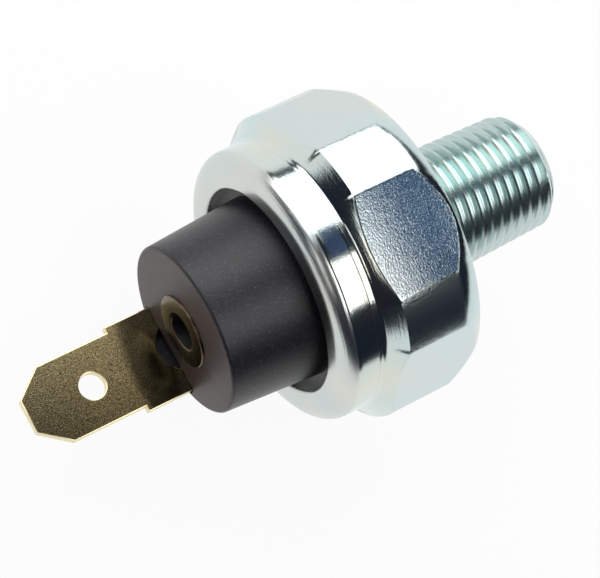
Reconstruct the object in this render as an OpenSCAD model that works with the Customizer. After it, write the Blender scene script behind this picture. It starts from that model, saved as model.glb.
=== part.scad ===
// One-terminal oil pressure sender, lying on one flat of its hexagon.
// The axis runs along X: the blade points to -X and the tapered thread to +X.
// The origin is on the axis, in the hexagon's rear face, where the thread starts.
// Stations named _x are measured along the axis from that face.

/* [Hexagon] */
// Width across the flats
hex_af = 23.8; // [23.4:0.1:24.4]
// Diameter to which the six corners are rounded
hex_corner_d = 25.2; // [24.9:0.1:25.6]
// Length from the rear face to the foot of the front chamfer
hex_len = 8.3; // [8:0.1:9]
// Length of the front chamfer along the axis, at a corner
front_chamfer_len = 1.2; // [0.8:0.1:1.5]
// Length of the rear chamfer along the axis, at a corner
rear_chamfer_len = 1.9; // [1.2:0.1:2.2]
// Depth of the rear chamfer, measured inwards from a corner
rear_chamfer_depth = 1.1; // [0.8:0.1:1.3]

/* [Crimped collar] */
// Outside diameter of the collar
collar_d = 22.3; // [21.8:0.1:22.7]
// Length of the collar in front of the hexagon
collar_len = 3.5; // [3.2:0.1:4.2]
// Radius of the collar's rolled outer edge
lip_round = 1.5; // [1:0.1:1.9]
// Thickness of the lip that is rolled over the insulator
lip_thickness = 1.2; // [0.9:0.1:1.4]
// Diameter of the opening inside the lip
lip_opening_d = 16.8; // [16.6:0.1:17.8]
// Radius of the lip's inner edge
lip_edge_round = 0.35; // [0.2:0.05:0.5]
// Radius of the fillet between the collar and the front chamfer
collar_fillet = 0.6; // [0.3:0.1:0.8]

/* [Tapered thread] */
// Outside diameter of the thread at the hexagon's rear face
thread_d = 10.29; // [10.1:0.01:10.5]
// Length of the threaded end
thread_len = 13; // [10:0.5:14]
// Change of diameter for each millimetre of length
thread_taper = 0.0625; // [0:0.0025:0.07]
// Diameter of the end face inside the end chamfer
thread_end_d = 7.6; // [7:0.1:8.4]
// Distance from one turn of the thread to the next
thread_pitch = 0.94; // [0.9:0.01:1]
// Depth of the thread from crest to root
thread_depth = 0.5; // [0.4:0.02:0.56]
// Width of the crest's flat
crest_flat = 0.14; // [0.1:0.02:0.2]
// Length of the plain shank between the hexagon and the first turn
shank_len = 0.9; // [0.5:0.1:1.2]
// Radius of the fillet where the thread meets the hexagon
thread_fillet = 0.4; // [0.2:0.1:0.6]
// Diameter of the pressure port through the threaded end
port_d = 2.6; // [2:0.1:3.4]
// Depth of the chamfer around the port's mouth
port_chamfer = 0.4; // [0.2:0.1:0.6]

/* [Pressure chamber] */
// Distance from the hexagon's rear face to the chamber's floor
chamber_x = 2.9; // [2.4:0.1:3.4]
// Depth of the shallow chamber under the diaphragm
chamber_depth = 0.7; // [0.5:0.1:1]
// Diameter of the chamber under the diaphragm
chamber_d = 11.4; // [10:0.1:12]
// Diameter of the socket that holds the stack of inner pieces
socket_d = 19.8; // [19.4:0.1:20]
// Diameter of the sealing ring's section
seal_section_d = 1.5; // [1.2:0.1:1.8]
// Mean diameter of the sealing ring
seal_mean_d = 15.4; // [14.8:0.1:16]
// Thickness of the diaphragm
diaphragm_thickness = 0.25; // [0.2:0.05:0.4]

/* [Switch] */
// Thickness of the formed contact plate's metal
plate_thickness = 1; // [0.8:0.1:1.2]
// Height by which the contact plate's middle is raised
plate_rise = 1.3; // [1.1:0.1:1.5]
// Diameter of the space under the raised middle
plate_recess_d = 11.2; // [10.4:0.1:11.6]
// Diameter of the hole in the contact plate
plate_hole_d = 6; // [5.4:0.1:6.4]
// Diameter of the plunger's flange
plunger_flange_d = 10.2; // [9.6:0.1:10.4]
// Thickness of the plunger's flange
plunger_flange_thickness = 0.5; // [0.4:0.05:0.6]
// Diameter of the plunger's stem
plunger_stem_d = 5.2; // [4.6:0.1:5.4]
// Diameter of the moving contact
contact_d = 9.2; // [8.4:0.1:10]
// Thickness of the moving contact
contact_thickness = 0.4; // [0.3:0.05:0.6]
// Diameter of the cup pressed up in the moving contact
contact_cup_d = 5.8; // [5:0.1:6]
// Height of the cup above the moving contact
contact_cup_height = 0.8; // [0.5:0.1:1]

/* [Spring] */
// Mean diameter of the coil
spring_mean_d = 7; // [6.8:0.1:7.4]
// Wire diameter
spring_wire_d = 0.5; // [0.4:0.05:0.6]
// Number of turns
spring_turns = 5; // [4:1:7]

/* [Insulator] */
// Distance from the lip's front to the boss's outer face
boss_len = 7.2; // [6:0.1:8.5]
// Diameter of the boss at its outer face
boss_face_d = 13.65; // [13.5:0.05:14]
// Diameter of the boss where it leaves the flange
boss_root_d = 14.85; // [14.5:0.05:15.1]
// Radius of the boss's outer edge
boss_edge_round = 0.3; // [0.2:0.05:0.3]
// Diameter of the flange that the lip holds
flange_d = 19.6; // [19.2:0.1:19.7]
// Thickness of the boss's end wall
end_wall = 3.6; // [3:0.1:4]
// Diameter of the hollow for the spring
hollow_d = 12; // [11.9:0.05:12.2]
// Diameter of the half-round ledge that carries the blade's root
ledge_d = 4.6; // [4.2:0.1:4.7]
// Thickness of that ledge
ledge_thickness = 0.8; // [0.5:0.1:0.8]

/* [Blade] */
// Width of the blade
blade_w = 6.35; // [6:0.05:6.5]
// Width of the blade's root
root_w = 7.3; // [7:0.05:7.4]
// Thickness of the sheet
blade_thickness = 0.8; // [0.7:0.05:0.9]
// Distance of the blade's near face from the axis
blade_offset = 4.53; // [4.4:0.01:4.6]
// Turn of the blade about the axis, away from the hexagon's upper flat
blade_roll = -12.9; // [-20:0.1:20]
// Length of the wide root in front of the boss
root_len = 3.85; // [3:0.05:4.5]
// Length of the blade in front of the boss
blade_len = 12.35; // [11.5:0.05:13.5]
// Length of the two slanted corners at the tip
tip_chamfer_len = 2.3; // [1.8:0.1:2.8]
// Width of the straight edge at the tip
tip_w = 2.7; // [2:0.1:3.4]
// Distance from the boss to the centre of the blade's hole
blade_hole_out = 6.85; // [6.4:0.05:7.6]
// Diameter of the blade's hole
blade_hole_d = 2.15; // [1.7:0.05:2.3]
// Diameter of the hole at the blade's root, which shows as a half moon
root_hole_d = 4.06; // [3.6:0.02:4.2]
// Depth of that hole's centre behind the boss's face
root_hole_in = 1.03; // [0.9:0.01:1.2]
// Width of the strip behind the root, down to the foot
neck_w = 5; // [4.6:0.1:5.1]
// Depth of the root inside the boss before it narrows
root_depth = 3.1; // [3.05:0.05:3.3]
// Inner radius of the bend
bend_r = 0.4; // [0.3:0.05:0.6]
// Diameter of the foot around the rivet
foot_d = 8.2; // [8:0.1:8.6]

/* [Rivet] */
// Outside diameter of the rivet's tube
rivet_d = 4; // [3.8:0.05:4.2]
// Diameter of the hole through the rivet
rivet_hole_d = 2.9; // [2.7:0.05:3]
// Diameter of the outer head
rivet_head_d = 5.9; // [5.6:0.05:6.2]
// Thickness of the outer head
rivet_head_thickness = 0.2; // [0.15:0.05:0.4]
// Diameter of the rolled inner end
rivet_roll_d = 5.8; // [5.4:0.1:6]
// Thickness of the rolled inner end
rivet_roll_thickness = 0.4; // [0.3:0.05:0.5]

/* [Fits] */
// Clearance of the slot around the blade, on each side
slot_gap = 0.06; // [0.03:0.01:0.08]
// Clearance of the slot at the blade's two edges
slot_end_gap = 0.1; // [0.05:0.01:0.12]
// Clearance of the rivet in the end wall and the foot
rivet_gap = 0.03; // [0.01:0.01:0.06]
// Radial clearance of the stack in the socket
stack_gap = 0.1; // [0.05:0.01:0.15]

/* [Hidden] */
$fn = 96;
hex_r = hex_af / 2;
corner_r = hex_corner_d / 2;
collar_r = collar_d / 2;
// sqrt(3) / 2 turns a corner radius into half the width across flats
flat_ratio = cos(30);
lip_x = -hex_len - collar_len;
lip_inner_x = lip_x + lip_thickness;
face_x = lip_x - boss_len;
seat_x = -chamber_x - chamber_depth;
groove_floor_x = seat_x + seal_section_d;
diaphragm_x = seat_x - diaphragm_thickness;
plate_x = diaphragm_x - plate_thickness;
raised_under_x = diaphragm_x - plate_rise;
raised_top_x = raised_under_x - plate_thickness;
contact_x = raised_top_x - contact_thickness;
wall_inner_x = face_x + end_wall;
foot_inner_x = wall_inner_x + blade_thickness;
rivet_inner_x = foot_inner_x + rivet_roll_thickness;
stack_d = socket_d - 2 * stack_gap;
plate_wall = 1;
plate_raised_d = plate_recess_d + 2 * plate_wall;
thread_tip_d = thread_d - thread_taper * thread_len;
thread_chamfer_len = (thread_tip_d - thread_end_d) / 2;
thread_turns = floor((thread_len - shank_len) / thread_pitch);
// the thread's flanks meet at 60 degrees
flank_len = thread_depth * tan(30);
// a cut runs this far past the face it opens
past = 0.5;
// seats in the hollow that clear the raised middle of the contact plate
plate_clear = 0.15;
spring_sides = 8;
spring_steps = 20;
spring_len = contact_x - foot_inner_x;

// Turns a shape drawn about Z so that it lies about the part's axis.
module about_axis() {
  rotate([0, 90, 0])
    children();
}

// Revolves a profile, drawn as radius and station, about the part's axis.
// The profile starts on the upper side, away from the slot.
module turned() {
  about_axis()
    rotate([0, 0, 180])
      rotate_extrude()
        children();
}

// A rectangle from radius r1 to r2 and from station x1 to x2.
module band(r1, r2, x1, x2) {
  translate([r1, min(x1, x2)])
    square([r2 - r1, abs(x2 - x1)]);
}

// Outside of the steel body before its six flats are formed.
module body_outside() {
  // collar with its rolled edge
  band(0, collar_r - lip_round, lip_x, -hex_len);
  band(0, collar_r, lip_x + lip_round, -hex_len);
  translate([collar_r - lip_round, lip_x + lip_round])
    circle(r = lip_round);
  // hexagon blank with both chamfers
  polygon([[0, -hex_len], [collar_r, -hex_len], [corner_r, front_chamfer_len - hex_len],
           [corner_r, -rear_chamfer_len], [corner_r - rear_chamfer_depth, 0], [0, 0]]);
  collar_root();
  tapered_thread();
  thread_root();
}

// Radius of the thread's crests at a station.
function crest_r(x) = (thread_d - thread_taper * x) / 2;

// One turn of the thread as a ridge that starts at a station.
function ridge(x) =
  let (crest = crest_r(x + flank_len + crest_flat / 2), root = crest - thread_depth)
  [[root, x], [crest, x + flank_len], [crest, x + flank_len + crest_flat], [root, x + 2 * flank_len + crest_flat]];

// Tapered thread as closed ridges at its true pitch, cut by the end chamfer.
module tapered_thread() {
  ridges = [for (turn = [0 : thread_turns - 1]) each ridge(shank_len + turn * thread_pitch)];
  intersection() {
    polygon(concat([[0, -past], [crest_r(0), -past], [crest_r(0), 0], [ridges[0][0], shank_len - thread_depth]],
                   ridges, [[crest_r(thread_len) - thread_depth, thread_len], [0, thread_len]]));
    polygon([[0, -past], [thread_d / 2, -past], [thread_d / 2, 0],
             [thread_tip_d / 2 + thread_taper * thread_chamfer_len / 2, thread_len - thread_chamfer_len],
             [thread_end_d / 2, thread_len], [0, thread_len]]);
  }
}

// Hollow fillet where the collar runs into the front chamfer.
module collar_root() {
  difference() {
    band(collar_r - past, collar_r + collar_fillet, -hex_len - collar_fillet, -hex_len + collar_fillet);
    translate([collar_r + collar_fillet, -hex_len - collar_fillet / 2])
      circle(r = collar_fillet);
    band(collar_r, collar_r + 2 * collar_fillet, -hex_len - 2 * collar_fillet, -hex_len - collar_fillet / 2);
  }
}

// Hollow fillet where the thread leaves the hexagon's rear face.
module thread_root() {
  difference() {
    band(0, thread_d / 2 + thread_fillet, -past, thread_fillet);
    translate([thread_d / 2 + thread_fillet, thread_fillet])
      circle(r = thread_fillet);
  }
}

// Everything that is bored or rolled hollow inside the body.
module body_inside() {
  // opening in the lip, with a rounded inner edge
  difference() {
    band(0, lip_opening_d / 2 + lip_edge_round, lip_x - past, lip_inner_x);
    translate([lip_opening_d / 2 + lip_edge_round, lip_x + lip_edge_round])
      circle(r = lip_edge_round);
    band(lip_opening_d / 2, socket_d, lip_x + lip_edge_round, lip_inner_x + past);
  }
  band(0, socket_d / 2, lip_inner_x, seat_x);
  band(0, chamber_d / 2, seat_x - past, -chamber_x);
  band((seal_mean_d - seal_section_d) / 2 - stack_gap, (seal_mean_d + seal_section_d) / 2 + stack_gap,
       seat_x - past, groove_floor_x);
  band(0, port_d / 2, -chamber_x - past, thread_len + past);
  polygon([[0, thread_len - port_chamfer], [port_d / 2, thread_len - port_chamfer],
           [port_d / 2 + port_chamfer, thread_len], [port_d / 2 + port_chamfer, thread_len + past],
           [0, thread_len + past]]);
}

// Zinc-plated steel body: crimped collar, hexagon and tapered thread in one piece.
module body() {
  color("#c9d3d3")
    intersection() {
      turned()
        difference() {
          body_outside();
          body_inside();
        }
      about_axis()
        translate([0, 0, lip_x - past])
          rotate([0, 0, 30])
            cylinder(h = thread_len - lip_x + 2 * past, r = hex_r / flat_ratio, $fn = 6);
    }
}

// Rubber ring that seals the diaphragm against the socket's floor.
module seal_ring() {
  color("#1b1b1c")
    turned()
      translate([seal_mean_d / 2, seat_x + seal_section_d / 2])
        circle(d = seal_section_d);
}

// Thin plastic film that the oil pushes on.
module diaphragm() {
  color("#b87333")
    turned()
      band(0, stack_d / 2, diaphragm_x, seat_x);
}

// Formed steel plate, clamped in the socket, that is the fixed contact.
module contact_plate() {
  color("#b9bcbd")
    turned()
      union() {
        band(plate_recess_d / 2, stack_d / 2, plate_x, diaphragm_x);
        band(plate_recess_d / 2, plate_raised_d / 2, raised_top_x, diaphragm_x);
        band(plate_hole_d / 2, plate_raised_d / 2, raised_top_x, raised_under_x);
      }
}

// Moulded plunger that rests on the diaphragm and lifts the moving contact.
module plunger() {
  color("#7a4a2b")
    turned()
      union() {
        band(0, plunger_flange_d / 2, diaphragm_x - plunger_flange_thickness, diaphragm_x);
        band(0, plunger_stem_d / 2, raised_top_x, diaphragm_x);
      }
}

// Brass contact that the spring holds down on the plate, with a cup that centres the spring.
module moving_contact() {
  cup_x = contact_x - contact_cup_height;
  color("#b5923f")
    turned()
      difference() {
        union() {
          band(0, contact_d / 2, contact_x, raised_top_x);
          band(0, contact_cup_d / 2, cup_x, contact_x);
        }
        band(0, contact_cup_d / 2 - contact_thickness, cup_x - past, contact_x);
      }
}

// One ring of the wire's section, at a share of the coil's length.
function wire_ring(share, sides, turns, coil_r, wire_r, x0, length) =
  [for (side = [0 : sides - 1])
    let (turn = 360 * turns * share, around = 360 * side / sides, r = coil_r + wire_r * cos(around))
    [x0 + wire_r + (length - 2 * wire_r) * share + wire_r * sin(around), r * sin(turn), r * cos(turn)]];

// Coil spring between the terminal's foot and the moving contact.
module contact_spring() {
  steps = spring_turns * spring_steps;
  sides = spring_sides;
  points = [for (step = [0 : steps])
    each wire_ring(step / steps, sides, spring_turns, spring_mean_d / 2, spring_wire_d / 2, foot_inner_x,
                   spring_len)];
  walls = [for (step = [0 : steps - 1], side = [0 : sides - 1])
    let (next = (side + 1) % sides, low = step * sides, high = low + sides)
    each [[low + side, high + side, high + next], [low + side, high + next, low + next]]];
  first_cap = [for (side = [0 : sides - 1]) side];
  last_cap = [for (side = [sides - 1 : -1 : 0]) steps * sides + side];
  color("#8d8f8c")
    polyhedron(points = points, faces = concat(walls, [first_cap], [last_cap]), convexity = 10);
}

// Sheet outline of the blade, from the tip to the bend.
module blade_outline() {
  tip_x = face_x - blade_len;
  bend_x = foot_inner_x - blade_thickness - bend_r;
  difference() {
    union() {
      polygon([[tip_x, -tip_w / 2], [tip_x, tip_w / 2], [tip_x + tip_chamfer_len, blade_w / 2],
               [face_x, blade_w / 2], [face_x, -blade_w / 2], [tip_x + tip_chamfer_len, -blade_w / 2]]);
      translate([face_x - root_len, -root_w / 2])
        square([root_len + root_depth, root_w]);
      translate([face_x, -neck_w / 2])
        square([bend_x - face_x, neck_w]);
    }
    translate([face_x - blade_hole_out, 0])
      circle(d = blade_hole_d);
    translate([face_x + root_hole_in, 0])
      circle(d = root_hole_d);
  }
}

// Side view of the bend that joins the blade to its foot.
module bend_outline() {
  centre_x = foot_inner_x - blade_thickness - bend_r;
  centre_z = bend_r - blade_offset;
  intersection() {
    translate([centre_x, centre_z])
      difference() {
        circle(r = bend_r + blade_thickness);
        circle(r = bend_r);
      }
    translate([centre_x, centre_z - bend_r - blade_thickness])
      square(bend_r + blade_thickness);
  }
}

// Stamped terminal: a blade that leaves through the slot, bent to a foot under the end wall.
module terminal() {
  bend_top_z = bend_r - blade_offset;
  color("#a8914f")
    rotate([blade_roll, 0, 0])
      union() {
        translate([0, 0, -blade_offset - blade_thickness])
          linear_extrude(height = blade_thickness)
            blade_outline();
        translate([0, neck_w / 2, 0])
          rotate([90, 0, 0])
            linear_extrude(height = neck_w)
              bend_outline();
        translate([wall_inner_x, 0, 0])
          about_axis()
            linear_extrude(height = blade_thickness)
              difference() {
                union() {
                  circle(d = foot_d);
                  translate([0, -neck_w / 2])
                    square([-bend_top_z, neck_w]);
                }
                circle(d = rivet_d + 2 * rivet_gap);
              }
      }
}

// Hollow rivet that clamps the foot to the end wall; its hole vents the switch.
module rivet() {
  color("#8f7c46")
    turned()
      difference() {
        union() {
          band(0, rivet_d / 2, face_x, rivet_inner_x);
          band(0, rivet_head_d / 2 - rivet_head_thickness, face_x - rivet_head_thickness, face_x);
          intersection() {
            translate([rivet_head_d / 2 - rivet_head_thickness, face_x])
              circle(r = rivet_head_thickness);
            band(0, rivet_head_d / 2, face_x - rivet_head_thickness, face_x);
          }
          band(0, rivet_roll_d / 2, foot_inner_x, rivet_inner_x);
        }
        band(0, rivet_hole_d / 2, face_x - rivet_head_thickness - past, rivet_inner_x + past);
      }
}

// Boss and flange of the insulator, with the rounded outer edge.
module insulator_outside() {
  draft = (boss_root_d - boss_face_d) / 2 / (lip_inner_x - face_x);
  edge_r = boss_face_d / 2 + draft * boss_edge_round;
  band(0, flange_d / 2, lip_inner_x, plate_x);
  polygon([[0, face_x + boss_edge_round], [edge_r, face_x + boss_edge_round],
           [boss_root_d / 2, lip_inner_x], [0, lip_inner_x]]);
  band(0, edge_r - boss_edge_round, face_x, lip_inner_x);
  translate([edge_r - boss_edge_round, face_x + boss_edge_round])
    circle(r = boss_edge_round);
}

// Half-round ledge under the blade's root, seen through the half moon. The slot trims its upper side.
module blade_ledge() {
  floor_z = -blade_offset - blade_thickness - slot_gap;
  translate([face_x + root_hole_in, 0, floor_z - ledge_thickness])
    intersection() {
      cylinder(h = ledge_thickness + slot_gap, d = ledge_d);
      translate([-ledge_d, -ledge_d / 2, 0])
        cube([ledge_d, ledge_d, ledge_thickness + slot_gap]);
    }
}

// Black moulded insulator, held in the socket by the rolled lip.
module insulator() {
  slot_w = root_w + 2 * slot_end_gap;
  slot_thickness = blade_thickness + 2 * slot_gap;
  slot_x = face_x - ledge_d;
  color("#2b2a2e")
    difference() {
      union() {
        turned()
          difference() {
            insulator_outside();
            band(0, hollow_d / 2, wall_inner_x, plate_x + past);
            band(0, plate_raised_d / 2 + plate_clear, raised_top_x - plate_clear, plate_x + past);
            band(0, rivet_d / 2 + rivet_gap, face_x - past, wall_inner_x + past);
          }
        rotate([blade_roll, 0, 0])
          blade_ledge();
      }
      rotate([blade_roll, 0, 0])
        translate([slot_x, -slot_w / 2, -blade_offset - blade_thickness - slot_gap])
          cube([foot_inner_x + past - slot_x, slot_w, slot_thickness]);
    }
}

body();
seal_ring();
diaphragm();
contact_plate();
plunger();
moving_contact();
contact_spring();
insulator();
terminal();
rivet();
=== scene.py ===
import math

import bmesh
import bpy
from mathutils import Euler, Matrix, Vector


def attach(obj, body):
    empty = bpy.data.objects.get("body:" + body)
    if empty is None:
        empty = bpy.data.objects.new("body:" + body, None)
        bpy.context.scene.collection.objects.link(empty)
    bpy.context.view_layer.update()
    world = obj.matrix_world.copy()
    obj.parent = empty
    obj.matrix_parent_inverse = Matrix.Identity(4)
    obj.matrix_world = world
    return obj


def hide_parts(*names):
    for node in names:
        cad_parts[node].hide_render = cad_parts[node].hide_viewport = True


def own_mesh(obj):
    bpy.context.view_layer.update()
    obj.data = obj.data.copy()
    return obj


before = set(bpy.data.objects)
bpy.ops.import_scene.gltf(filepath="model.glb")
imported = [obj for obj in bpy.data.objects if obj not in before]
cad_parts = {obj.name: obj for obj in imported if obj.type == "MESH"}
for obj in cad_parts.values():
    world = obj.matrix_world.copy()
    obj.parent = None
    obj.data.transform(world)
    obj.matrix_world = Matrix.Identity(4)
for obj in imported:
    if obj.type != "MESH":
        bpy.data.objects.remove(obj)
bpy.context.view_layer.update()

# Body: one steel turning, bright zinc plated with a thin blue passivation. The collar's lip is rolled over
# the insulator, the flats are as the drawn hexagon bar left them, and the taper thread is cut last.
MM = 0.001
hex_r = 11.9
corner_r = 12.598
front_x = -8.3
front_chamfer_len = 1.2
rear_chamfer_len = 1.9
rear_chamfer_depth = 1.12
rear_edge_round = 0.42
rear_edge_x = -0.462
flat_edge_round = 0.11
# a loop this far inside each end of the corners keeps the bevels along the flats straight
corner_loop = 0.3
collar_r = 11.15
lip_x = -11.8
lip_round = 1.5
lip_thickness = 1.2
lip_opening_r = 8.4
lip_edge_round = 0.35
roller_mark = 0.02
roller_angle = 106
score_x = -8.85
score_half = 0.05
score_depth = 0.035
score_step = 0.01
collar_fillet = 0.5
collar_fillet_x = front_x - 0.28
collar_end_r = collar_r - 0.02
socket_r = 9.9
seat_x = -3.6
chamber_r = 5.7
chamber_x = -2.9
port_r = 1.3
port_chamfer = 0.4
thread_r = 5.145
thread_len = 13
thread_end_r = 3.8
taper = 1 / 32
pitch = 0.94
thread_depth = 0.5
crest_flat = 0.24
shank_len = 0.9
shank_edge_x = 0.63
shank_edge_drop = 0.05
thread_fillet = 0.4
# a step of 2.4 degrees lands on the rounded corners' ends, 19.2 degrees from the middle of each flat
round_steps = 150


def srgb(code):
    """Turns an sRGB hex colour into a linear one."""
    channels = [int(code[i:i + 2], 16) / 255 for i in (1, 3, 5)]
    return [c / 12.92 if c <= 0.04045 else ((c + 0.055) / 1.055) ** 2.4 for c in channels] + [1.0]


def add_node(tree, kind, settings=None, inputs=None):
    """Adds a node, sets its settings, and sets or links its inputs."""
    node = tree.nodes.new(kind)
    for key, value in (settings or {}).items():
        setattr(node, key, value)
    for key, value in (inputs or {}).items():
        if isinstance(value, bpy.types.NodeSocket):
            tree.links.new(value, node.inputs[key])
        else:
            node.inputs[key].default_value = value
    return node


def new_material(name, colour, metallic, roughness):
    """Makes a material with one shader and gives back the material, its tree and the shader."""
    material = bpy.data.materials.new(name)
    material.use_nodes = True
    tree = material.node_tree
    shader = tree.nodes["Principled BSDF"]
    shader.inputs["Base Color"].default_value = srgb(colour)
    shader.inputs["Metallic"].default_value = metallic
    shader.inputs["Roughness"].default_value = roughness
    return material, tree, shader


def object_place(tree, scale_xyz):
    """Object coordinates in millimetres, stretched by a scale on each axis."""
    place = add_node(tree, "ShaderNodeTexCoord")
    scale = [1 / MM * s for s in scale_xyz]
    return add_node(tree, "ShaderNodeMapping", None, {"Vector": place.outputs["Object"], "Scale": scale})


def arc(centre_x, centre_r, radius, start, end, steps):
    """Points of an arc as station and radius, angles in degrees from +X towards the outside."""
    angles = [math.radians(start + (end - start) * i / steps) for i in range(steps + 1)]
    return [(centre_x + radius * math.cos(a), centre_r + radius * math.sin(a)) for a in angles]


def revolve(bm, profile, steps):
    """Spins a closed profile of stations and radii about the X axis."""
    verts = [bm.verts.new((x, 0, r)) for x, r in profile]
    edges = [bm.edges.new((verts[i], verts[(i + 1) % len(verts)])) for i in range(len(verts))]
    bmesh.ops.spin(bm, geom=verts + edges, cent=(0, 0, 0), axis=(1, 0, 0), dvec=(0, 0, 0),
                   angle=2 * math.pi, steps=steps, use_merge=True, use_normal_flip=False,
                   use_duplicate=False)


def finish_piece(name, bm, materials, body, smooth_angle):
    """Scales the mesh to metres, makes its object with its materials and puts it on its body."""
    bmesh.ops.remove_doubles(bm, verts=bm.verts, dist=1e-4)
    bmesh.ops.recalc_face_normals(bm, faces=bm.faces)
    bmesh.ops.scale(bm, vec=(MM, MM, MM), verts=bm.verts)
    for edge in bm.edges:
        if len(edge.link_faces) == 2:
            edge.smooth = edge.calc_face_angle(0) < math.radians(smooth_angle)
    for face in bm.faces:
        face.smooth = len(face.verts) < 12
    mesh = bpy.data.meshes.new(name)
    bm.to_mesh(mesh)
    bm.free()
    for material in materials:
        mesh.materials.append(material)
    piece = bpy.data.objects.new(name, mesh)
    bpy.context.scene.collection.objects.link(piece)
    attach(piece, body)
    return piece


def zinc_plate(name, cool, painted_warm_reflection, grain_mm, grain_depth, streak_depth, roughness):
    """Bright zinc: a pale blue-green metal with a fine grain, streaks round the turned faces, and straw
    patches as a painted warm reflection.
    """
    material, tree, shader = new_material(name, cool, 1, roughness)
    grain_place = object_place(tree, [1 / grain_mm] * 3)
    grain = add_node(tree, "ShaderNodeTexNoise", None,
                     {"Vector": grain_place.outputs[0], "Scale": 1, "Detail": 2, "Roughness": 0.7})
    streak_place = object_place(tree, (9, 0.25, 0.25))
    streak = add_node(tree, "ShaderNodeTexNoise", None,
                      {"Vector": streak_place.outputs[0], "Scale": 1, "Detail": 3, "Roughness": 0.6})
    grain_bump = add_node(tree, "ShaderNodeBump", None,
                          {"Height": grain.outputs["Fac"], "Strength": 1, "Distance": grain_depth * MM})
    streak_bump = add_node(tree, "ShaderNodeBump", None,
                           {"Height": streak.outputs["Fac"], "Strength": 1, "Distance": streak_depth * MM,
                            "Normal": grain_bump.outputs["Normal"]})
    tree.links.new(streak_bump.outputs["Normal"], shader.inputs["Normal"])
    # Broad noise patches mix in the straw colour: a painted warm reflection of the table.
    tint_place = object_place(tree, [0.12] * 3)
    tint = add_node(tree, "ShaderNodeTexNoise", None,
                    {"Vector": tint_place.outputs[0], "Scale": 1, "Detail": 1, "Roughness": 0.5})
    ramp = add_node(tree, "ShaderNodeValToRGB", None, {"Fac": tint.outputs["Fac"]})
    ramp.color_ramp.elements[0].position = 0.38
    ramp.color_ramp.elements[0].color = srgb(cool)
    ramp.color_ramp.elements[1].position = 0.66
    ramp.color_ramp.elements[1].color = srgb(painted_warm_reflection)
    tree.links.new(ramp.outputs["Color"], shader.inputs["Base Color"])
    return material


# The plating copies the steel under it, and its film gives a pale blue tint. Straw patches mixed in at
# random are a painted warm reflection of the table. The turned faces are nearly mirrors, the drawn flats and
# corners break reflections up into grain, and the thread is duller than both. Real grain is finer than a
# pixel here, so it is drawn
# 0.14 to 0.22 mm wide, as coarse as it has to be to show. The roller pressed the lip into soft rings.
turned_zinc = zinc_plate("zinc_on_turned_steel", "#c9dada", "#dadbcf", grain_mm=0.16,
                         grain_depth=0.004, streak_depth=0.006, roughness=0.12)
drawn_zinc = zinc_plate("zinc_on_drawn_flats", "#cbd9da", "#d2d8d6", grain_mm=0.15,
                        grain_depth=0.0165, streak_depth=0, roughness=0.09)
thread_zinc = zinc_plate("zinc_on_cut_thread", "#b2cac8", "#c3d2d0", grain_mm=0.14,
                         grain_depth=0.005, streak_depth=0.006, roughness=0.24)
rolled_zinc = zinc_plate("zinc_on_rolled_lip", "#cbd4d3", "#dbdad2", grain_mm=0.16,
                         grain_depth=0.004, streak_depth=0.02, roughness=0.26)
corner_zinc = zinc_plate("zinc_on_bar_corners", "#c8d8d9", "#d4d9d4", grain_mm=0.22,
                         grain_depth=0.016, streak_depth=0, roughness=0.2)
body_finishes = [turned_zinc, drawn_zinc, thread_zinc, rolled_zinc, corner_zinc]
TURNED, DRAWN, THREAD, ROLLED, CORNER = range(5)

lip_centre = (lip_x + lip_round, collar_r - lip_round)
root_end_r = thread_r - thread_len * taper - thread_depth
body_profile = (
    arc(lip_x + lip_edge_round, lip_opening_r + lip_edge_round, lip_edge_round, -90, -180, 6)
    + arc(*lip_centre, lip_round, 180, roller_angle + 3, 12)
    + arc(*lip_centre, lip_round - roller_mark, roller_angle + 1, roller_angle - 1, 1)
    + arc(*lip_centre, lip_round, roller_angle - 3, 90, 3)
    + [(score_x - score_half, collar_r), (score_x, collar_r - score_depth)]
    + [(score_x + score_half, collar_r - score_step), (collar_fillet_x, collar_end_r)]
    + arc(collar_fillet_x, collar_end_r + collar_fillet, collar_fillet, -90, -40, 5)
    + [(front_x + front_chamfer_len + inside, corner_r) for inside in (0, corner_loop)]
    + [(-rear_chamfer_len - inside, corner_r) for inside in (corner_loop, 0)]
    + arc(rear_edge_x, corner_r - rear_chamfer_depth, rear_edge_round, 50, 0, 5)
    + arc(thread_fillet, thread_r + thread_fillet, thread_fillet, 180, 270, 6)
    + [(shank_edge_x, thread_r - shank_edge_drop), (shank_len, thread_r - thread_depth)]
    + [(thread_len - (root_end_r - thread_end_r), root_end_r), (thread_len, thread_end_r)]
    + [(thread_len, port_r + port_chamfer), (thread_len - port_chamfer, port_r)]
    + [(chamber_x, port_r), (chamber_x, chamber_r), (seat_x, chamber_r), (seat_x, socket_r)]
    + [(lip_x + lip_thickness, socket_r), (lip_x + lip_thickness, lip_opening_r)]
)
body_bm = bmesh.new()
revolve(body_bm, body_profile, round_steps)
for side in range(6):
    turn = math.radians(60 * side)
    out = Vector((0, math.sin(turn), math.cos(turn)))
    everything = body_bm.verts[:] + body_bm.edges[:] + body_bm.faces[:]
    cut = bmesh.ops.bisect_plane(body_bm, geom=everything, dist=0.004, plane_co=out * hex_r, plane_no=out,
                                 clear_outer=True)
    rim = [item for item in cut["geom_cut"] if isinstance(item, bmesh.types.BMEdge)]
    filled = bmesh.ops.contextual_create(body_bm, geom=rim)
    for face in filled["faces"]:
        face.material_index = DRAWN
bmesh.ops.remove_doubles(body_bm, verts=body_bm.verts, dist=0.01)
flat_edges = [edge for face in body_bm.faces if face.material_index == DRAWN for edge in face.edges]
bmesh.ops.bevel(body_bm, geom=flat_edges, offset=flat_edge_round, offset_type="OFFSET", segments=2,
                profile=0.5, affect="EDGES", clamp_overlap=False, material=-1)

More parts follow.
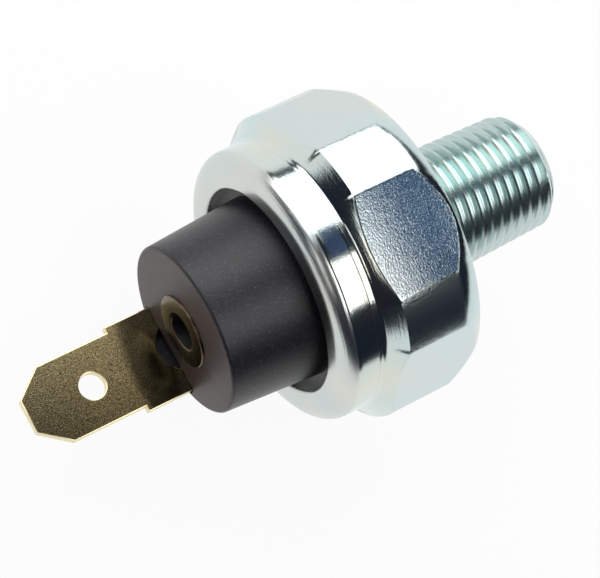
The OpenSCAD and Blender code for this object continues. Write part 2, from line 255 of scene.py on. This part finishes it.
# The thread is a ridge screwed along the root, which runs out at the shank and sinks into the end chamfer.
sunk = 0.06
crest_half = crest_flat / 2
crest_inner = crest_half - 0.02
crest_outer = crest_half + 0.03
crest_round = 0.04
run_out_len = 0.35
run_out_slope = 0.9
end_gap = 0.02
turn_steps = 96
flank = thread_depth * math.tan(math.radians(30))
ridge_base = thread_r - thread_depth - sunk
ridge_half = crest_half + flank * (1 + sunk / thread_depth)
ridge_side = [(ridge_half, ridge_base), (crest_outer, thread_r - crest_round), (crest_inner, thread_r)]
ridge_points = [(-x, r) for x, r in ridge_side] + ridge_side[::-1]
ridge_bm = bmesh.new()
ridge_verts = [ridge_bm.verts.new((shank_len + x, 0, r)) for x, r in ridge_points]
ridge_face = ridge_bm.faces.new(ridge_verts)
turns = (thread_len - shank_len) / pitch
bmesh.ops.spin(ridge_bm, geom=[ridge_face] + ridge_face.edges[:] + ridge_verts, cent=(0, 0, 0),
               axis=(-1, 0, 0), dvec=(pitch / turn_steps, 0, 0), angle=2 * math.pi * turns,
               steps=round(turns * turn_steps), use_merge=False, use_normal_flip=False,
               use_duplicate=False)
open_edges = [edge for edge in ridge_bm.edges if edge.is_boundary]
bmesh.ops.holes_fill(ridge_bm, edges=open_edges, sides=0)
for vert in ridge_bm.verts:
    radius = math.hypot(vert.co.y, vert.co.z)
    tapered = radius - vert.co.x * taper
    run_out = ridge_base + max(0, vert.co.x - shank_len + run_out_len) * run_out_slope
    end_cone = thread_end_r + thread_len - vert.co.x - end_gap
    held = min(tapered, run_out, end_cone)
    vert.co.y *= held / radius
    vert.co.z *= held / radius
    vert.co.x = min(vert.co.x, thread_len - end_gap)
for face in ridge_bm.faces:
    face.material_index = THREAD
ridge_mesh = bpy.data.meshes.new("thread_ridge")
ridge_bm.to_mesh(ridge_mesh)
ridge_bm.free()
body_bm.from_mesh(ridge_mesh)
bpy.data.meshes.remove(ridge_mesh)

# Each finish goes on by place: the thread behind its fillet, the lip's roll, and the band of bar corners.
thread_start_x = 0.3
lip_end_x = lip_x + lip_round * 0.75
band_r = corner_r - 0.75
band_front_x = front_x + front_chamfer_len - 0.5
band_rear_x = 0.5 - rear_chamfer_len
for face in body_bm.faces:
    middle = face.calc_center_median()
    radius = math.hypot(middle.y, middle.z)
    bare = face.material_index == TURNED
    if middle.x > thread_start_x and bare:
        face.material_index = THREAD
    elif middle.x < lip_end_x and radius > lip_opening_r:
        face.material_index = ROLLED
    elif bare and radius > band_r and band_front_x < middle.x < band_rear_x:
        face.material_index = CORNER
body_piece = finish_piece("body_piece", body_bm, body_finishes, "sender", 34)
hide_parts("body")

# Insulator: black glass-filled phenolic, pressed in a mould. The lip clamps its flange, and the face stays
# as the mould left it, with a fine matt grain and a few bright glass specks.
speck_mm = 0.12
grain_depth_mm = 0.02


def glass_filled_black(name, colour, speck_colour, roughness):
    """Black moulding: matt grain, with glass specks that catch the light."""
    material, tree, shader = new_material(name, colour, 0, roughness)
    grain_place = object_place(tree, [1 / speck_mm] * 3)
    grain = add_node(tree, "ShaderNodeTexNoise", None,
                     {"Vector": grain_place.outputs[0], "Scale": 1, "Detail": 3, "Roughness": 0.75})
    bump = add_node(tree, "ShaderNodeBump", None,
                    {"Height": grain.outputs["Fac"], "Strength": 1, "Distance": grain_depth_mm * MM})
    tree.links.new(bump.outputs["Normal"], shader.inputs["Normal"])
    specks = add_node(tree, "ShaderNodeValToRGB", None, {"Fac": grain.outputs["Fac"]})
    specks.color_ramp.elements[0].position = 0.58
    specks.color_ramp.elements[0].color = srgb(colour)
    specks.color_ramp.elements[1].position = 0.8
    specks.color_ramp.elements[1].color = srgb(speck_colour)
    tree.links.new(specks.outputs["Color"], shader.inputs["Base Color"])
    return material


def node_copy(node_name):
    """A merged copy of a CAD node's mesh, in millimetres."""
    bm = bmesh.new()
    bm.from_mesh(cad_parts[node_name].data)
    bmesh.ops.remove_doubles(bm, verts=bm.verts, dist=1e-6)
    bmesh.ops.scale(bm, vec=(1 / MM, 1 / MM, 1 / MM), verts=bm.verts)
    bm.normal_update()
    return bm


# The moulded sides are near black with a soft sheen. The face is a lighter, browner and rougher copy of the
# same
# moulding: a painted sheen and a painted brown reflection of the brass blade. Its specks are drawn 0.12 mm
# wide, coarser than the glass, so that they show.
black_phenolic = glass_filled_black("moulded_black_phenolic", "#19171d", "#7d7888", roughness=0.36)
face_phenolic_painted_sheen = glass_filled_black("phenolic_face_with_painted_sheen", "#483a3a", "#756868", roughness=0.42)
insulator_bm = node_copy("insulator")
# The face towards the blade takes the lighter, browner copy with its painted sheen and reflection.
for face in insulator_bm.faces:
    if face.normal.x < -0.9:
        face.material_index = 1
insulator_piece = finish_piece("insulator_piece", insulator_bm, [black_phenolic, face_phenolic_painted_sheen], "sender",
                               40)
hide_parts("insulator")

# Terminal: stamped brass sheet, yellow passivated. The blade, the neck and the foot are one blank, which is
# bent up inside the end wall and held there by the rivet.
face_x = -19.0
blade_w = 6.35
root_w = 7.3
sheet = 0.8
blade_offset = 4.53
blade_roll = -12.9
root_len = 3.85
blade_len = 12.35
tip_chamfer_len = 2.3
tip_w = 2.7
latch_hole_x = face_x - 6.85
latch_hole_r = 1.075
root_hole_x = face_x + 1.03
root_hole_r = 2.03
neck_w = 5
root_depth = 3.1
bend_r = 0.4
bend_steps = 8
foot_r = 4.1
foot_hole_r = 2.03
foot_inner_x = -14.6
stamped_edge = 0.07
hole_sides = 40


def passivated_brass(name, colour, speck_colour, roughness, fleck_mm, depth):
    """Yellow-passivated brass: a rough rolled sheet with bright and dark flecks."""
    material, tree, shader = new_material(name, colour, 1, roughness)
    place = object_place(tree, [1 / fleck_mm] * 3)
    flecks = add_node(tree, "ShaderNodeTexNoise", None,
                      {"Vector": place.outputs[0], "Scale": 1, "Detail": 3, "Roughness": 0.8})
    ramp = add_node(tree, "ShaderNodeValToRGB", None, {"Fac": flecks.outputs["Fac"]})
    ramp.color_ramp.elements[0].position = 0.35
    ramp.color_ramp.elements[0].color = srgb(colour)
    ramp.color_ramp.elements[1].position = 0.7
    ramp.color_ramp.elements[1].color = srgb(speck_colour)
    tree.links.new(ramp.outputs["Color"], shader.inputs["Base Color"])
    bump = add_node(tree, "ShaderNodeBump", None,
                    {"Height": flecks.outputs["Fac"], "Strength": 1, "Distance": depth * MM})
    tree.links.new(bump.outputs["Normal"], shader.inputs["Normal"])
    return material


# The rolled faces are a dull olive with fine bright flecks. The sheared edges are painted pale yellow,
# partly the bare brass of the cut and partly a painted highlight along the rim.
blade_brass = passivated_brass("yellow_passivated_brass", "#4a4231", "#b3a67f", roughness=0.14,
                               fleck_mm=0.12, depth=0.004)
edge_brass_painted_highlight = passivated_brass("sheared_brass_edge_painted_highlight", "#e4d5a6", "#efe3bd", roughness=0.3,
                              fleck_mm=0.3, depth=0.002)

bend_x = foot_inner_x - sheet - bend_r
bend_path = math.pi / 2 * (bend_r + sheet / 2)
foot_x = bend_x + bend_path + blade_offset - bend_r
foot_start = math.degrees(math.asin(neck_w / 2 / foot_r))
half_outline = [(face_x - blade_len, tip_w / 2), (face_x - blade_len + tip_chamfer_len, blade_w / 2),
                (face_x - root_len, blade_w / 2), (face_x - root_len, root_w / 2),
                (face_x + root_depth, root_w / 2), (face_x + root_depth, neck_w / 2)]
half_outline += arc(foot_x, 0, foot_r, 180 - foot_start, 0, 24)[:-1]
outline = half_outline + [(foot_x + foot_r, 0)] + [(x, -y) for x, y in reversed(half_outline)]
terminal_bm = bmesh.new()
corners = [terminal_bm.verts.new((x, y, 0)) for x, y in outline]
blank_edges = [terminal_bm.edges.new((corners[i - 1], corners[i])) for i in range(len(corners))]
for hole_x, hole_r in ((latch_hole_x, latch_hole_r), (root_hole_x, root_hole_r), (foot_x, foot_hole_r)):
    ring = bmesh.ops.create_circle(terminal_bm, segments=hole_sides, radius=hole_r,
                                   matrix=Matrix.Translation((hole_x, 0, 0)))
    blank_edges += {edge for vert in ring["verts"] for edge in vert.link_edges}
bmesh.ops.triangle_fill(terminal_bm, use_beauty=True, use_dissolve=False, edges=blank_edges)
for i in range(bend_steps + 1):
    cut_x = bend_x + bend_path * i / bend_steps
    everything = terminal_bm.verts[:] + terminal_bm.edges[:] + terminal_bm.faces[:]
    bmesh.ops.bisect_plane(terminal_bm, geom=everything, plane_co=(cut_x, 0, 0), plane_no=(1, 0, 0))
raised = bmesh.ops.extrude_face_region(terminal_bm, geom=terminal_bm.faces[:])
raised_verts = [item for item in raised["geom"] if isinstance(item, bmesh.types.BMVert)]
bmesh.ops.translate(terminal_bm, vec=(0, 0, sheet), verts=raised_verts)
bmesh.ops.recalc_face_normals(terminal_bm, faces=terminal_bm.faces)
rim_edges = [edge for edge in terminal_bm.edges
             if len(edge.link_faces) == 2 and edge.calc_face_angle(0) > math.radians(80)
             and abs(edge.verts[0].co.z - edge.verts[1].co.z) < 0.01]
bmesh.ops.bevel(terminal_bm, geom=rim_edges, offset=stamped_edge, offset_type="OFFSET", segments=2,
                profile=0.5, affect="EDGES", clamp_overlap=False, material=-1)
terminal_bm.normal_update()
# The sides and rounded rims take the pale yellow with its painted highlight.
for face in terminal_bm.faces:
    if abs(face.normal.z) < 0.95:
        face.material_index = 1
centre_z = bend_r - blade_offset
for vert in terminal_bm.verts:
    along = vert.co.x - bend_x
    reach = bend_r + sheet - vert.co.z
    if along <= 0:
        vert.co.z = centre_z - reach
    elif along < bend_path:
        angle = along / bend_path * math.pi / 2
        vert.co.x = bend_x + reach * math.sin(angle)
        vert.co.z = centre_z - reach * math.cos(angle)
    else:
        vert.co.x = bend_x + reach
        vert.co.z = centre_z + along - bend_path
roll = Matrix.Rotation(math.radians(blade_roll), 3, "X")
bmesh.ops.rotate(terminal_bm, cent=(0, 0, 0), matrix=roll, verts=terminal_bm.verts)
terminal_piece = finish_piece("terminal_piece", terminal_bm, [blade_brass, edge_brass_painted_highlight], "sender",
                              20)
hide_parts("terminal")

# Rivet: a drawn brass tube whose flat head lies on the insulator's face. Its inner end is rolled over the
# terminal's foot, and its open hole vents the switch.
rivet_r = 2
rivet_hole_r = 1.45
mouth_round = 0.12
mouth_loop = 0.2
head_x = face_x - 0.2
head_r = 2.95
head_round = 0.1
roll_r = 2.9
roll_x = foot_inner_x + 0.4
roll_round = 0.15
rivet_profile = (
    arc(head_x + mouth_round, rivet_hole_r + mouth_round, mouth_round, 270, 180, 4)
    + [(head_x, rivet_hole_r + mouth_loop)]
    + arc(head_x + head_round, head_r - head_round, head_round, 180, 90, 4)
    + [(face_x, head_r), (face_x, rivet_r), (foot_inner_x, rivet_r), (foot_inner_x, roll_r)]
    + arc(roll_x - roll_round, roll_r - roll_round, roll_round, 90, 0, 4)
    + [(roll_x, rivet_hole_r)]
)
rivet_bm = bmesh.new()
revolve(rivet_bm, rivet_profile, 96)
# The head is a dull brown brass with soft broad flecks, and the hole's wall is painted nearly black, a
# painted shade inside the bore.
rivet_brass = passivated_brass("dull_rivet_brass", "#5a4f40", "#766a56", roughness=0.24,
                               fleck_mm=0.3, depth=0.003)
bore_painted_shade = new_material("rivet_bore_painted_shade", "#171514", 0, 0.6)[0]
# The bore's wall takes the painted shade.
for face in rivet_bm.faces:
    middle = face.calc_center_median()
    if math.hypot(middle.y, middle.z) < rivet_hole_r + 0.01:
        face.material_index = 1
rivet_piece = finish_piece("rivet_piece", rivet_bm, [rivet_brass, bore_painted_shade], "sender", 30)
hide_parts("rivet")

# Inner pieces: the stack that the oil pressure moves. A rubber ring seals the film, which pushes a moulded
# plunger; a formed steel plate is the fixed contact, and a coil spring holds the brass contact on it.
# Matt black rubber, glossy amber film, plain grey plate, brown phenolic and clean bright brass:
inner_materials = {
    "seal_ring": new_material("moulded_nitrile_rubber", "#1c1c1d", 0, 0.6)[0],
    "diaphragm": new_material("amber_polyimide_film", "#b5702a", 0, 0.25)[0],
    "contact_plate": new_material("pressed_steel_plate", "#b9bcbd", 1, 0.3)[0],
    "plunger": new_material("brown_moulded_phenolic", "#7a4a2b", 0, 0.45)[0],
    "moving_contact": new_material("pressed_contact_brass", "#c2a252", 1, 0.25)[0],
}
for node_name, material in inner_materials.items():
    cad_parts[node_name].material_slots[0].material = material

# Contact spring: coiled from round drawn wire, grey and satin. Its outer end stands on the terminal's foot,
# and the brass contact presses it shorter as the oil lifts the plunger.
spring_bm = node_copy("contact_spring")
spring_ends = [end(vert.co.x for vert in spring_bm.verts) for end in (min, max)]
spring_wire = new_material("drawn_spring_wire", "#9a9c99", 1, 0.28)[0]
spring_piece = finish_piece("contact_spring_piece", spring_bm, [spring_wire], "sender", 40)
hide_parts("contact_spring")
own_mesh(spring_piece)

# Floor: a plain white table, on which the sender lies on one flat of its hexagon. Most of its white is its
# own glow, so that it is as pale as the room, and the rest takes the sender's soft shadow.
glow_share = 0.93
scene = bpy.context.scene
scene.view_settings.view_transform = "Standard"
floor_bm = bmesh.new()
bmesh.ops.create_grid(floor_bm, x_segments=1, y_segments=1, size=1.5)
floor_mesh = bpy.data.meshes.new("table")
floor_bm.to_mesh(floor_mesh)
floor_bm.free()
floor = bpy.data.objects.new("table", floor_mesh)
floor.location.z = -hex_r * MM
scene.collection.objects.link(floor)
table_white, tree, shader = new_material("white_table", "#f4f4f2", 0, 0.6)
glow = add_node(tree, "ShaderNodeEmission", None, {"Color": (1, 1, 1, 1), "Strength": 1})
path = add_node(tree, "ShaderNodeLightPath")
seen = add_node(tree, "ShaderNodeMath", {"operation": "MAXIMUM"},
                {0: path.outputs["Is Camera Ray"], 1: path.outputs["Is Glossy Ray"]})
seen_all = add_node(tree, "ShaderNodeMath", {"operation": "MAXIMUM"},
                    {0: seen.outputs[0], 1: path.outputs["Is Transmission Ray"]})
share = add_node(tree, "ShaderNodeMath", {"operation": "MULTIPLY"}, {0: seen_all.outputs[0], 1: glow_share})
mixed = add_node(tree, "ShaderNodeMixShader", None,
                 {0: share.outputs[0], 1: shader.outputs[0], 2: glow.outputs[0]})
tree.links.new(mixed.outputs[0], tree.nodes["Material Output"].inputs["Surface"])
floor_mesh.materials.append(table_white)


# Studio cards: a softbox behind and a card overhead give the light, and two tinted cards, a strip and a dim
# wall in front are there for the metal to mirror. Two flags close over the hexagon, which only its upper
# flat mirrors, darken that flat alone and cast no shadow.
def studio_card(name, corners, colour, strength):
    """A flat card that gives light of one colour and that the camera doesn't see."""
    card_bm = bmesh.new()
    card_bm.faces.new([card_bm.verts.new([c * MM for c in corner]) for corner in corners])
    card_mesh = bpy.data.meshes.new(name)
    card_bm.to_mesh(card_mesh)
    card_bm.free()
    card = bpy.data.objects.new(name, card_mesh)
    scene.collection.objects.link(card)
    material = bpy.data.materials.new(name)
    material.use_nodes = True
    card_tree = material.node_tree
    card_tree.nodes.remove(card_tree.nodes["Principled BSDF"])
    light = add_node(card_tree, "ShaderNodeEmission", None, {"Color": srgb(colour), "Strength": strength})
    card_tree.links.new(light.outputs[0], card_tree.nodes["Material Output"].inputs["Surface"])
    card_mesh.materials.append(material)
    card.visible_camera = False
    card.visible_diffuse = "flag" not in name
    card.visible_shadow = card.visible_diffuse


def level_card(name, height, outline, colour, strength):
    """A studio card that lies level over the sender, by its outline seen from above."""
    studio_card(name, [(x, y, height) for x, y in outline], colour, strength)


card_z = 112
flag_z = 40
level_card("overhead_card", card_z, [(-30, -84), (92, -84), (92, 2), (-30, 2)], "#ffffff", 2.4)
level_card("blue_flag", flag_z, [(5.2, -7.5), (18, -8), (18, 9), (5.2, 9)], "#455f80", 1)
level_card("black_flag", flag_z, [(9.5, -36), (24, -36), (19.5, -8), (5.2, -7.5)], "#070708", 1)
level_card("blade_card", card_z, [(15, 37), (22, 37), (22, 66), (15, 66)], "#e6dccb", 2)
level_card("blue_sky_card", card_z, [(24, 5), (50, 5), (50, 57), (24, 57)], "#34466a", 1)
rear_softbox = [(-140, 237, 39), (320, 237, 39), (320, 82, 172), (-140, 82, 172)]
front_strip = [(-182, -60, 105), (-182, 60, 105), (-168, 60, 135), (-168, -60, 135)]
front_wall = [(-170, -60, 130), (-170, 60, 130), (-120, 60, 210), (-120, -60, 210)]
studio_card("rear_softbox", rear_softbox, "#ffffff", 2.4)
studio_card("front_strip", front_strip, "#ffffff", 2)
studio_card("front_wall", front_wall, "#ffffff", 0.12)

# Room: white to the camera, and a dark blue ceiling to everything else, which the metal shows as its dark
# bands between the cards.
world = bpy.data.worlds.new("room")
scene.world = world
world.use_nodes = True
tree = world.node_tree
backdrop = tree.nodes["Background"]
path = add_node(tree, "ShaderNodeLightPath")
colour = add_node(tree, "ShaderNodeMix", {"data_type": "RGBA"},
                  {0: path.outputs["Is Camera Ray"], 6: srgb("#20242e"), 7: (1, 1, 1, 1)})
tree.links.new(colour.outputs[2], backdrop.inputs["Color"])

# Camera: above and in front of the blade, at the photograph's angle.
camera_data = bpy.data.cameras.new("camera")
camera_data.lens = 150.34
camera_data.sensor_width = 36
camera_data.clip_start = 0.01
camera = bpy.data.objects.new("camera", camera_data)
scene.collection.objects.link(camera)
camera.location = (-82.06 * MM, 10.38 * MM, 176.38 * MM)
camera.rotation_euler = Euler([math.radians(a) for a in (6.712, -21.781, -26.432)], "XYZ")
scene.camera = camera
